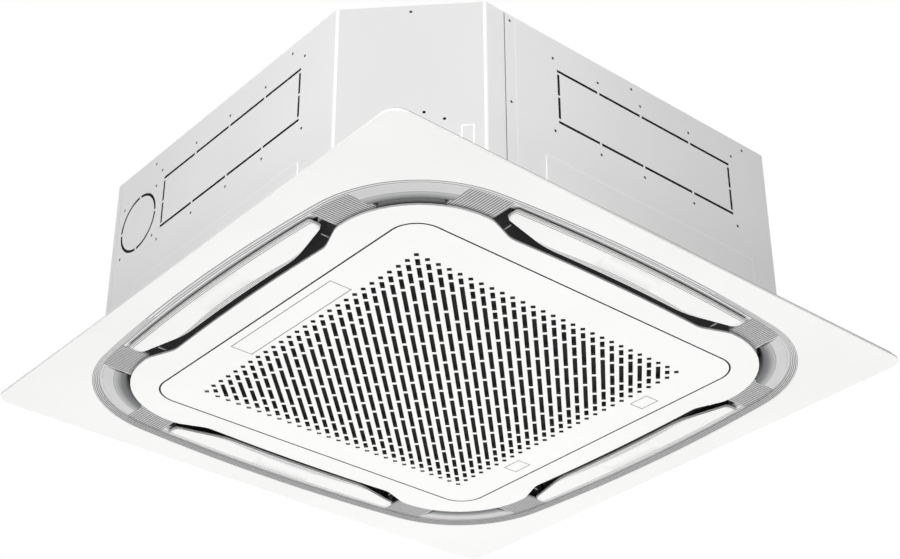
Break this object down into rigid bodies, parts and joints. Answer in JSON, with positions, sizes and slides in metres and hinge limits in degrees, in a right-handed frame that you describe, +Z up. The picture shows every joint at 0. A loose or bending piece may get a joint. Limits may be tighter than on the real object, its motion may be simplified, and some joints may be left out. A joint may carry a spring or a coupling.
{
  "type": "ceiling cassette air conditioner",
  "caption": "Ceiling cassette indoor unit: octagonal metal body hung above a flat square panel with a hinged slotted suction grille, four air flaps and curved corner outlets.",
  "frame": {"origin": "middle of the panel's visible face, the lowest plane of the part", "axes": "+Z up towards the ceiling void; +X along the width towards the pipe side's right; +Y towards the back, so the front is -Y"},
  "size_m": [0.95, 0.95, 0.305],
  "materials": {
    "panel_white": "satin, warm white",
    "channel_grey": "matt light grey",
    "dark_plastic": "matt near black",
    "part_plastic": "matt off-white",
    "sheet_metal": "coated sheet, satin light grey",
    "steel": "zinc-plated",
    "fins": "bare fins",
    "copper": "bare copper",
    "brass": "machined",
    "foam": "closed-cell foam",
    "pan_foam": "moulded foam",
    "board": "green laminate",
    "mesh": "dark fine net",
    "rubber": "matt black"
  },
  "bodies": {
    "casing": {"outer_panel": "panel_white", "ceiling_seal": "foam", "channel_rim": "channel_grey", "channel_liner": "channel_grey", "corner_outlets": "channel_grey", "inner_frame": "panel_white", "air_guide": "dark_plastic", "panel_chassis": "part_plastic", "duct_wall": "part_plastic", "grille_collar": "part_plastic", "body_seal": "foam", "panel_bolts": "steel", "flap_bushes": "part_plastic", "flap_motors": "steel", "side_sheet_front": "sheet_metal", "side_sheet_right": "sheet_metal", "side_sheet_back": "sheet_metal", "side_sheet_left": "sheet_metal", "roof_plate": "sheet_metal", "hanger_brackets": "steel", "bracket_screws": "steel", "wall_foam": "foam", "roof_foam": "foam", "drain_pan": "pan_foam", "bell_mouth": "part_plastic", "coil": "fins", "coil_end_plates": "steel", "coil_bends": "copper", "coil_baffle": "steel", "gas_pipe": "copper", "liquid_pipe": "copper", "pipe_unions": "brass", "drain_pump": "part_plastic", "drain_outlet": "part_plastic", "float_guide": "part_plastic", "fan_motor": "steel", "motor_bracket": "steel", "motor_mounts": "rubber", "control_box": "steel", "control_lid": "steel", "circuit_board": "board", "cable_gland": "dark_plastic"},
    "fan": {"turbo_fan": "dark_plastic", "fan_blades": "dark_plastic", "fan_shroud": "dark_plastic", "fan_shaft": "steel", "fan_nut": "steel"},
    "grille": {"grille": "panel_white", "grille_hinge_pins": "steel", "receiver_cover": "panel_white", "receiver_board": "board"},
    "latch_front": {"latch_front": "panel_white"},
    "latch_back": {"latch_back": "panel_white"},
    "filter": {"filter_frame": "dark_plastic", "filter_mesh": "mesh"},
    "flap_front": {"flap_front": "panel_white"},
    "flap_right": {"flap_right": "panel_white"},
    "flap_back": {"flap_back": "panel_white"},
    "flap_left": {"flap_left": "panel_white"},
    "float": {"float": "part_plastic"}
  },
  "joints": [
    {"name": "fan_spin", "type": "hinge", "parent": "casing", "child": "fan", "pos_m": [0, 0, 0.2], "axis": [0, 0, 1], "continuous": true},
    {"name": "grille_hinge", "type": "hinge", "parent": "casing", "child": "grille", "pos_m": [-0.269, 0, 0.007], "axis": [0, 1, 0], "range_deg": [0, 88]},
    {"name": "latch_front_press", "type": "slide", "parent": "grille", "child": "latch_front", "axis": [0, 0, 1], "range_m": [0, 0.003], "stiffness_N_per_m": 400},
    {"name": "latch_back_press", "type": "slide", "parent": "grille", "child": "latch_back", "axis": [0, 0, 1], "range_m": [0, 0.003], "stiffness_N_per_m": 400},
    {"name": "filter_lift", "type": "slide", "parent": "grille", "child": "filter", "axis": [0, 0, 1], "range_m": [0, 0.01]},
    {"name": "flap_front_pivot", "type": "hinge", "parent": "casing", "child": "flap_front", "pos_m": [0, -0.389, 0.02], "axis": [1, 0, 0], "range_deg": [0, 55]},
    {"name": "flap_right_pivot", "type": "hinge", "parent": "casing", "child": "flap_right", "pos_m": [0.389, 0, 0.02], "axis": [0, 1, 0], "range_deg": [0, 55]},
    {"name": "flap_back_pivot", "type": "hinge", "parent": "casing", "child": "flap_back", "pos_m": [0, 0.389, 0.02], "axis": [-1, 0, 0], "range_deg": [0, 55]},
    {"name": "flap_left_pivot", "type": "hinge", "parent": "casing", "child": "flap_left", "pos_m": [-0.389, 0, 0.02], "axis": [0, -1, 0], "range_deg": [0, 55]},
    {"name": "float_rise", "type": "slide", "parent": "casing", "child": "float", "axis": [0, 0, 1], "range_m": [0, 0.012]}
  ]
}
